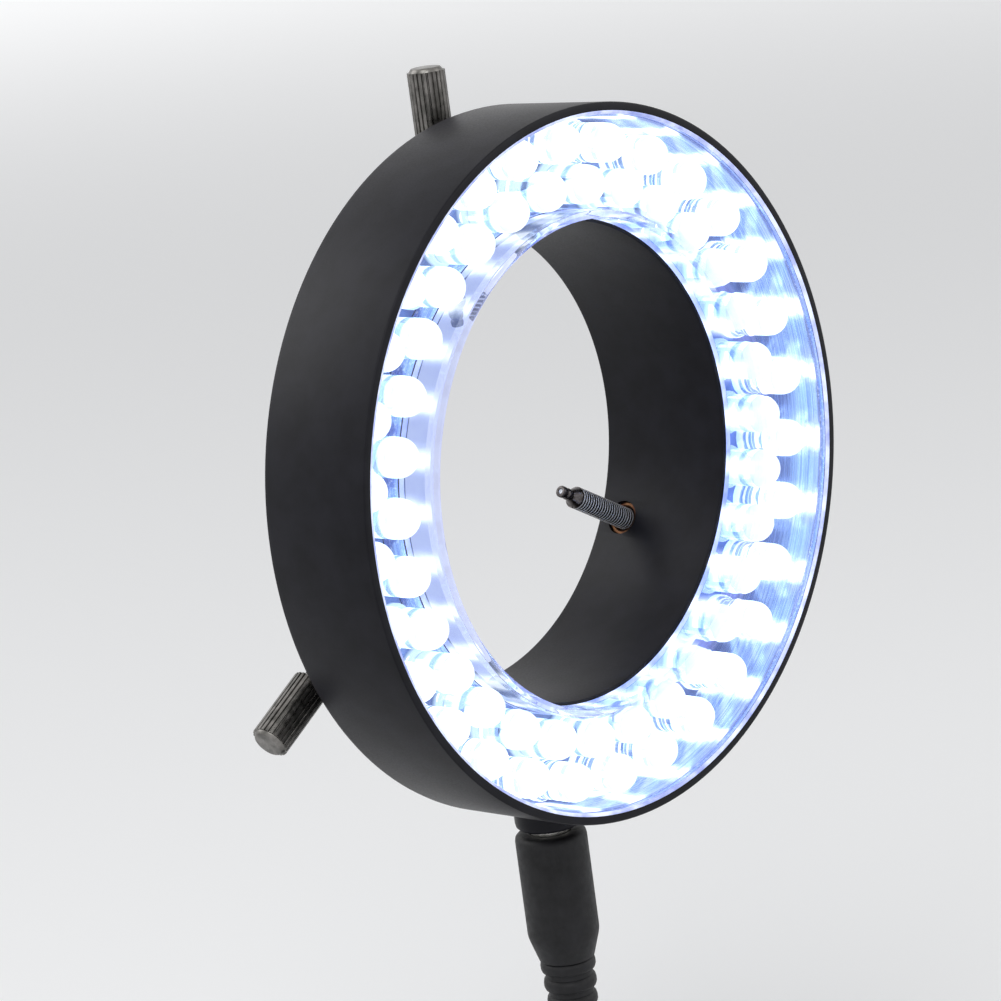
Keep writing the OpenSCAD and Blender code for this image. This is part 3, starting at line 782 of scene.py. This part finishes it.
def lead_frames(name, radius, first):
    """The stamped posts inside one row of lamps."""
    cup_post = [(-1.5, 0.4), (-1.0, 0.4), (-1.0, 2.9), (-0.2, 3.7), (0.55, 4.2), (0.55, 5.3),
                (-0.75, 5.3), (-0.9, 4.3), (-1.5, 3.2)]
    slim_post = [(1.0, 0.4), (1.5, 0.4), (1.5, 4.9), (0.8, 5.4), (0.8, 4.8), (1.0, 4.5)]
    posts = [plate(name, [(x, FOOT - height, radius - POST / 2) for x, height in shape], (0, 0, POST))
             for shape in (cup_post, slim_post)]
    frames = join(posts)
    turn_about_bore(frames, ROW_TURN + first * 360 / ROW)
    repeat_round(frames, ROW)
    return frames


for name, radius, first, resin in (
        ("inner_row", INNER_CIRCLE, INNER_ROW, inner_resin),
        ("outer_row", OUTER_CIRCLE, OUTER_ROW, outer_resin)):
    row = lamp_row(name + "_clear_lamps", radius, first, resin)
    dress(row, resin, "lamp_clear", "ring", name + "_lamps")
    dress(lead_frames(name + "_lead_frames", radius, first), tin, "lead_tin", "ring")

# %% [markdown]
# ## Drum
#
# The drum is one moulding: outer wall, floor and inner tube, with a boss for the power socket
# below. The wall is turned from its section. The boss is turned on its own axis and joined with a
# Boolean, because a round stub on a round wall meets it in a curve that is hard to draw by hand.
# A second Boolean opens the boss.

# %% Drum with the boss of the socket
SOCKET_Y = 2.7
BORE = 30.5
TUBE = 31.9
TUBE_FRONT = -9.8
DRUM = 45.3
DRUM_FRONT = -17
WALL = 43.9
PLATE = -1.8
BOSS = 4.5
BOSS_END = -50
SOCKET = 3.65


def combine(piece, other, operation):
    """Joins another piece to a piece, or cuts it out, and applies the result."""
    only(piece)
    boolean = piece.modifiers.new("combine", "BOOLEAN")
    boolean.operation = operation
    boolean.solver = "EXACT"
    boolean.object = other
    bpy.ops.object.modifier_apply(modifier=boolean.name)
    bpy.data.objects.remove(other)
    return piece


drum = turn_y("drum_shell", soften([
    (BORE, 0, 0), (DRUM, 0, 1.0), (DRUM, DRUM_FRONT, 0.3), (44.25, DRUM_FRONT, 0.06),
    (WALL, -16.75, 0.04), (WALL, PLATE, 0), (TUBE, PLATE, 0), (TUBE, TUBE_FRONT, 0.2),
    (BORE, TUBE_FRONT, 0.35)]))
boss_section = soften([(0, -37.8, 0), (BOSS, -37.8, 0), (BOSS, BOSS_END, 0.9), (0, BOSS_END, 0)])
boss = turn_z("boss", boss_section, (0, SOCKET_Y, 0), 64, False)
drum = combine(drum, boss, "UNION")
past_end = BOSS_END - 0.5
socket_section = [(0, -39.5), (SOCKET, -39.5), (SOCKET, past_end), (0, past_end)]
socket_space = turn_z("socket_space", socket_section, (0, SOCKET_Y, 0), 64, False)
drum = combine(drum, socket_space, "DIFFERENCE")
dress(drum, satin, "housing_black", "ring", "drum_housing", angle=30)

# %% [markdown]
# ## Clamp collar
#
# The collar is turned like the drum, and its three screw holes are cut with plain round cutters.
# They could be cut in the section, but a hole across a turned wall is a Boolean's work.

# %% Collar with three holes
CLAMP_Y = 6.5
CLOCK = {"top": 0, "right": 120, "left": 240}
COLLAR = 34
COLLAR_BACK = 10.5
FLANGE = 37.5
FLANGE_BACK = 2.5
HOLE = 2.32
collar = turn_y("clamp_ring", soften([
    (BORE, 0, 0), (FLANGE, 0, 0.5), (FLANGE, FLANGE_BACK, 0.6), (COLLAR, FLANGE_BACK, 0.5),
    (COLLAR, COLLAR_BACK, 1.0), (BORE, COLLAR_BACK, 0.5)]))
inside = BORE - 1.5
outside = COLLAR + 2
hole_section = [(0, inside), (HOLE, inside), (HOLE, outside), (0, outside)]
for clock in CLOCK.values():
    hole = turn_z("hole", hole_section, (0, CLAMP_Y, 0), 48, False)
    turn_about_bore(hole, clock)
    collar = combine(collar, hole, "DIFFERENCE")
dress(collar, satin, "housing_black", "ring", "clamp_collar", angle=30)

# %% [markdown]
# ## Clear cover
#
# The cover is one clear moulding, a flat ring with a skirt that stands on the inner tube. It
# could be two pieces, but one section keeps the clear wall closed. Its edges are rounded, because
# a sharp clear edge shows as a hard line, and its mouth is bevelled. Light leaves a clear sheet
# at its edges, so the skirt's foot shines, and so does the bead of clear glue in the rim.

# %% Cover and bead of glue
MOUTH = 30.9
COVER = 43.85
COVER_FRONT = -16.6
COVER_BACK = -15.6
SKIRT_TOP = -14
SKIRT_FOOT = -9.84
cover = turn_y("clear_cover", soften([
    (MOUTH, -15.5, 0.25), (TUBE, COVER_FRONT, 0.25), (COVER, COVER_FRONT, 0.2),
    (COVER, COVER_BACK, 0.15), (TUBE, COVER_BACK, 0.5), (TUBE, SKIRT_TOP, 0),
    (TUBE, SKIRT_FOOT, 0.1), (MOUTH, SKIRT_FOOT, 0.1), (MOUTH, SKIRT_TOP, 0)]))
for finish in (clear, haze, shine, turned):
    cover.data.materials.append(finish.material)
for face in cover.data.polygons:
    out = math.hypot(face.center.x, face.center.z)
    if face.center.y > SKIRT_TOP * MM:
        face.material_index = 1
    if face.center.y > (SKIRT_FOOT - 0.01) * MM:
        face.material_index = 2
    # The outer rim takes the foil's finish, with its painted glow and painted glints.
    if out > (COVER - 0.05) * MM:
        face.material_index = 3
dress(cover, clear, "cover_clear", "ring", "front_cover", angle=50)
bead = turn_y("edge_bead", [
    (43.88, -16.62), (43.91, -16.75), (44.22, -16.97), (44.08, -16.99), (43.88, -16.92),
    (43.78, -16.75), (43.78, -16.62)])
dress(bead, shine, "cover_clear", "ring", angle=50)

# %% [markdown]
# ## Reflector
#
# The reflector is a bright rolled strip. It could be a plain surface, but then it has no edge and
# no back, so it has two walls. A narrower strip of the same foil lines the inner tube.

# %% Reflector and inner foil
REFLECTOR = 43.5
FOIL = 31.93
FOIL_OUT = 32.07
FOIL_FRONT = -9.75
FOIL_BACK = -6.6
reflector = turn_y("reflector_strip", soften([
    (REFLECTOR, COVER_BACK, 0.08), (COVER, COVER_BACK, 0.08), (COVER, FOOT, 0.08),
    (REFLECTOR, FOOT, 0.08)], 2))
dress(reflector, mirror, "reflector_bright", "ring", "reflector_sleeve", angle=50)
foil = turn_y("inner_foil", soften([
    (FOIL, FOIL_FRONT, 0.03), (FOIL_OUT, FOIL_FRONT, 0.03), (FOIL_OUT, FOIL_BACK, 0.03),
    (FOIL, FOIL_BACK, 0.03)], 2))
dress(foil, turned, "reflector_bright", "ring", angle=50)

# %% [markdown]
# ## Thumb screws
#
# A thumb screw has a slim knurled head, a real thread, a cone and a small tip that swivels in its
# end. The head's knurls could be a bump, but they show in its outline, so they are a toothed
# outline that is extruded along the head.

# %% Knurled head
HEAD = 40.3
HEAD_TOP = 50.8
HEAD_EDGE = 0.5
KNURLS = 24


def knurled_head(name):
    """A toothed outline extruded along the head, on a core that ends in chamfers."""
    teeth = []
    for k in range(KNURLS):
        for part_of, radius in ((0.0, 2.2), (0.22, 2.44), (0.5, 2.45), (0.78, 2.44)):
            turn = 2 * math.pi * (k + part_of) / KNURLS
            teeth.append((radius * math.cos(turn), CLAMP_Y + radius * math.sin(turn), HEAD + HEAD_EDGE))
    head = plate(name, teeth, (0, 0, HEAD_TOP - HEAD - 2 * HEAD_EDGE))
    section = soften([(0, HEAD, 0), (1.75, HEAD, 0), (2.25, HEAD + HEAD_EDGE, 0.1),
                      (2.25, 50.25, 0.2), (1.9, HEAD_TOP, 0.15), (0, HEAD_TOP, 0)])
    core = turn_z("head_core", section, (0, CLAMP_Y, 0), 48, False)
    for part in (head, core):
        part.data.materials.append(nickel.material)
    return join([head, core])


print("knurls on a head:", KNURLS)

# %% [markdown]
# ### Thread
#
# The thread is one pitch of its profile, wound up by the Screw modifier. A bump would be cheaper,
# but the thread's edge shows in the bore. Its flanks and roots are dark with dirt and painted
# shade, and its crests carry a pale painted highlight.

# %% Wound thread
TIP = 17.1
ROOT = 1.2
CREST = 1.5
THREAD_PITCH = 0.5
THREAD_TURNS = 40


def thread(name):
    """One pitch of the thread's profile, wound up from the cone to the head."""
    piece = draw(name, [(ROOT, 0, 0), (ROOT, 0, 0.08), (CREST, 0, 0.15), (CREST, 0, 0.35),
                        (ROOT, 0, 0.42), (ROOT, 0, THREAD_PITCH)])
    bpy.ops.object.mode_set(mode="OBJECT")
    wind = piece.modifiers.new("wind", "SCREW")
    wind.axis = "Z"
    wind.screw_offset = THREAD_PITCH * MM
    wind.iterations = THREAD_TURNS
    wind.steps = 28
    wind.render_steps = 28
    wind.use_merge_vertices = True
    wind.merge_threshold = 0.002 * MM
    bpy.ops.object.modifier_apply(modifier=wind.name)
    bpy.ops.object.mode_set(mode="EDIT")
    bpy.ops.mesh.select_all(action="SELECT")
    bpy.ops.mesh.remove_doubles(threshold=0.002 * MM)
    bpy.ops.mesh.fill_holes(sides=0)
    bpy.ops.mesh.select_all(action="SELECT")
    bpy.ops.mesh.normals_make_consistent(inside=False)
    bpy.ops.object.mode_set(mode="OBJECT")
    piece.data.materials.append(blackened_and_shaded.material)
    piece.data.materials.append(crest.material)
    # Crests take the painted highlight; flanks and roots take the dark finish, dirt with painted shade.
    for face in piece.data.polygons:
        if face.center.xy.length > (CREST - 0.05) * MM:
            face.material_index = 1
    piece.location = (0, CLAMP_Y * MM, (TIP + 2.8) * MM)
    bpy.ops.object.transform_apply(location=True, rotation=False, scale=False)
    return piece


print("thread", THREAD_TURNS * THREAD_PITCH, "mm long")

# %% [markdown]
# ### Cone, tip and bush
#
# A hollow cone closes the thread and holds the tip, and a brass bush in the collar guides the
# screw. They could be cut from plain cylinders with Booleans, but a turned section gives each
# groove and chamfer in one go.

# %% Screw, swivel tip and bush, all pointing up
TIP_R = 0.8
STEM = 0.45
BUSH = 2.3
BUSH_BORE = 1.55
BUSH_END = 30.9
CHAMFER = 0.3


def thumb_screw(side):
    """Head, thread and hollow cone in one piece, pointing up."""
    section = soften([(0.5, TIP + 2, 0), (0.8, TIP + 2, 0.08), (1.4, TIP + 3.1, 0.1),
                      (1.4, TIP + 3.8, 0), (0.5, TIP + 3.8, 0)])
    cone = turn_z("cone", section, (0, CLAMP_Y, 0), 40)
    cone.data.materials.append(blackened_and_shaded.material)
    return join([knurled_head("thumb_screw_" + side + "_knurled"), thread("thread"), cone])


def swivel_tip(side):
    """The dark nub that presses on the nose: a groove, a rim and a dished face with a painted
    highlight.
    """
    tip = turn_z("swivel_tip_" + side, soften([
        (0, TIP + 0.25, 0), (0.4, TIP, 0.1), (TIP_R, TIP, 0.15), (TIP_R, TIP + 0.7, 0.1),
        (0.62, TIP + 0.95, 0.1), (TIP_R, TIP + 1.2, 0.1), (TIP_R, TIP + 1.94, 0.1),
        (STEM, TIP + 1.94, 0), (STEM, TIP + 3.6, 0.05), (0, TIP + 3.6, 0)]),
        (0, CLAMP_Y, 0), 40, False)
    for finish in (blackened_and_shaded, crest):
        tip.data.materials.append(finish.material)
    # The middle of the dished face gets the pale crest finish: a painted highlight.
    for face in tip.data.polygons:
        out = math.hypot(face.center.x, face.center.y - CLAMP_Y * MM)
        if out < 0.28 * MM and face.center.z < (TIP + 1) * MM:
            face.material_index = 1
    return tip


def bush(side):
    """Brass bush with a chamfered mouth."""
    return turn_z("brass_bush_" + side, soften([
        (BUSH_BORE, BUSH_END + CHAMFER, 0), (BUSH_BORE + CHAMFER, BUSH_END, 0.05),
        (BUSH, BUSH_END, 0.1), (BUSH, COLLAR, 0.15), (BUSH_BORE + CHAMFER, COLLAR, 0.05),
        (BUSH_BORE, COLLAR - CHAMFER, 0)]), (0, CLAMP_Y, 0), 48)


print("screw from", TIP, "to", HEAD_TOP, "mm from the bore's axis")

# %% [markdown]
# ### Three screws in place
#
# The three screws are alike. Copies of one would be quicker, but each screw, tip and bush needs
# its own name and body, so each is made pointing up and then turned to its place round the bore.

# %% Screws, tips and bushes round the bore
for side, clock in CLOCK.items():
    for make, finish, slot, body, node in (
            (thumb_screw, nickel, "screw_nickel", "screw_" + side, "thumb_screw_" + side),
            (swivel_tip, blackened_and_shaded, "tip_dark", "tip_" + side, "pressure_tip_" + side),
            (bush, tarnished_and_shaded, "bush_brass", "ring", "bush_" + side)):
        piece = make(side)
        turn_about_bore(piece, clock)
        dress(piece, finish, slot, body, node, angle=35)

# %% [markdown]
# ## Plugs on the lead
#
# Both ends of the lead carry the same moulded plug: a round grip with a soft front edge, a short
# taper, and a ribbed strain relief that bends with the cord. Each is turned from its section. The
# second plug is the same shape, laid along the floor.

# %% Grips and ribbed strain reliefs
SHOULDER = -50.8
GRIP_END = -17.7
RELIEF_END = -35.2
RIBS = 7
GRIP = 4.8
RELIEF = 3.7


def grip_section():
    """Half section of a grip, hollow where the barrel sits."""
    return soften([(0, -4, 0), (2.8, -4, 0), (2.8, 0, 0.1), (GRIP, 0, 0.9), (GRIP, -14.2, 0.6),
                   (RELIEF, GRIP_END, 0.1), (0, GRIP_END, 0)])


def relief_section():
    """Half section of a strain relief with seven rounded ribs."""
    section = [(0, GRIP_END + 0.1)]
    rib = (GRIP_END - RELIEF_END) / RIBS
    for k in range(RIBS):
        top = GRIP_END - k * rib
        wide = RELIEF - 1.1 * k / RIBS
        deep = wide - 0.5
        section += [(deep, top), (wide - 0.1, top - 0.12 * rib), (wide, top - 0.3 * rib),
                    (wide, top - 0.5 * rib), (wide - 0.15, top - 0.66 * rib), (deep, top - 0.72 * rib),
                    (deep, top - rib)]
    return section[:-1] + [(2.4, RELIEF_END), (0, RELIEF_END)]


def lay_down(piece, place_of_shoulder):
    """Turns a plug's piece from upright to lying along -X, with its shoulder at a place."""
    only(piece)
    piece.rotation_euler = (0, math.radians(-90), 0)
    piece.location = place_of_shoulder
    bpy.ops.object.transform_apply(location=True, rotation=True, scale=False)


end_shoulder = route[-1] + Vector((RELIEF_END * MM, 0, 0))
for end, grip_node in (("plug", "plug_grip"), ("end", "end_plug_grip")):
    grip = turn_z(end + "_moulded_grip", grip_section(), (0, 0, 0), 64, False)
    relief = turn_z(end + "_ribbed_relief", relief_section(), (0, 0, 0), 48, False)
    for piece in (grip, relief):
        if end == "end":
            lay_down(piece, end_shoulder)
        else:
            only(piece)
            piece.location = (0, SOCKET_Y * MM, SHOULDER * MM)
            bpy.ops.object.transform_apply(location=True, rotation=False, scale=False)
    dress(grip, soft_black, "plug_black", "ring", grip_node)
    dress(relief, soft_black, "plug_black", "ring", end + "_strain_relief", angle=50)

# %% [markdown]
# ## Tie on the coil
#
# The coil is held by a coated wire tie. Its band could be a plain box round the bundle, but a
# real one follows the bundle's section: short curves round the outermost turns, joined by
# straight runs. The line is extruded to the band's width and thickened with Solidify.

# %% Band round the bundle
BAND = 3.2
hug = CORD / 2 + TIE_GAP + TIE / 2


def at_tie(turns):
    """The place of one turn in the bundle's section, as (y, z)."""
    point = on_coil(turns)
    return Vector((point.y, point.z))


section = []
for turns, first, last in ((4.25, 160, 270), (0.25, 270, 365), (8.25, 5, 90), (5.25, 90, 160)):
    for k in range(7):
        angle = math.radians(first + (last - first) * k / 6)
        section.append(at_tie(turns) + Vector((math.cos(angle), math.sin(angle))) * hug)
band_points = [(coil_middle.x - BAND / 2, y, z) for y, z in section]
tie = draw("coil_tie_band", band_points + band_points[:1])
bpy.ops.mesh.extrude_region_move(TRANSFORM_OT_translate={"value": (BAND * MM, 0, 0)})
bpy.ops.mesh.select_all(action="SELECT")
bpy.ops.mesh.normals_make_consistent(inside=False)
bpy.ops.object.mode_set(mode="OBJECT")
thick = tie.modifiers.new("thick", "SOLIDIFY")
thick.thickness = TIE * MM
thick.offset = 0
bpy.ops.object.modifier_apply(modifier=thick.name)
print("band", BAND, "mm wide with", len(tie.data.polygons), "faces")

# %% [markdown]
# ### Twisted ends
#
# The tie's two ends are twisted together on top. Two wires wound round each other would hardly
# show at this size, so this is a flat bar turned by a twist along its length.

# %% Twisted ends on the band
top = max(z for y, z in section) + TIE / 2
bar = [(-7, -0.9, -0.35), (-7, 0.9, -0.35), (7, 0.9, -0.35), (7, -0.9, -0.35)]
ends = plate("tie_ends", bar, (0, 0, 0.7))
bpy.ops.object.mode_set(mode="EDIT")
bpy.ops.mesh.select_all(action="SELECT")
bpy.ops.mesh.subdivide(number_cuts=24)
bpy.ops.object.mode_set(mode="OBJECT")
twist = ends.modifiers.new("twist", "SIMPLE_DEFORM")
twist.deform_method = "TWIST"
twist.deform_axis = "X"
twist.angle = 5 * math.pi
bpy.ops.object.modifier_apply(modifier=twist.name)
ends.location = Vector((coil_middle.x + 6, at_tie(7.25).x, top + 0.85)) * MM
bpy.ops.object.transform_apply(location=True, rotation=False, scale=False)
tie = join([tie, ends])
dress(tie, gloss_black, "insulator_black", "ring", angle=35)

# %% [markdown]
# ## Pieces that keep their construction shape
#
# Small pieces inside and on the lead are right as they are. They stay and take the finishes
# above.

# %% Finishes for the pieces that stay
kept = {
    "lamp_board": board_blue, "inner_row_leads": tin, "outer_row_leads": tin, "board_resistors": film,
    "collar_screws": zinc, "jack_body": gloss_black, "jack_pin": bright, "jack_contact": brass,
    "wire_positive": red, "wire_negative": soft_black, "plug_barrel": bright,
    "plug_insulator": gloss_black, "plug_contact": brass, "end_plug_barrel": bright,
    "end_plug_insulator": gloss_black, "end_plug_contact": brass}
for name, finish in kept.items():
    for place_for_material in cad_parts[name].material_slots:
        place_for_material.material = finish.material
print("construction pieces with a finish:", len(kept))

# %% [markdown]
# ## The lead joins the object
#
# The cord takes its sheath and rides on the ring, and the pieces on it are listed. It stands for
# its three solids, which are hidden.

# %% Cord's sheath, the pieces on it, and the end
cord_line.materials.append(sheath.material)
on_cord = [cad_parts[name] for name in (
    "plug_barrel", "plug_insulator", "plug_contact", "end_plug_barrel", "end_plug_insulator",
    "end_plug_contact")]
on_cord += [bpy.data.objects[name] for name in (
    "plug_moulded_grip", "plug_ribbed_relief", "end_moulded_grip", "end_ribbed_relief",
    "coil_tie_band")]
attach(cord, "ring")
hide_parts("cord_drop", "cord_coil", "cord_tail")
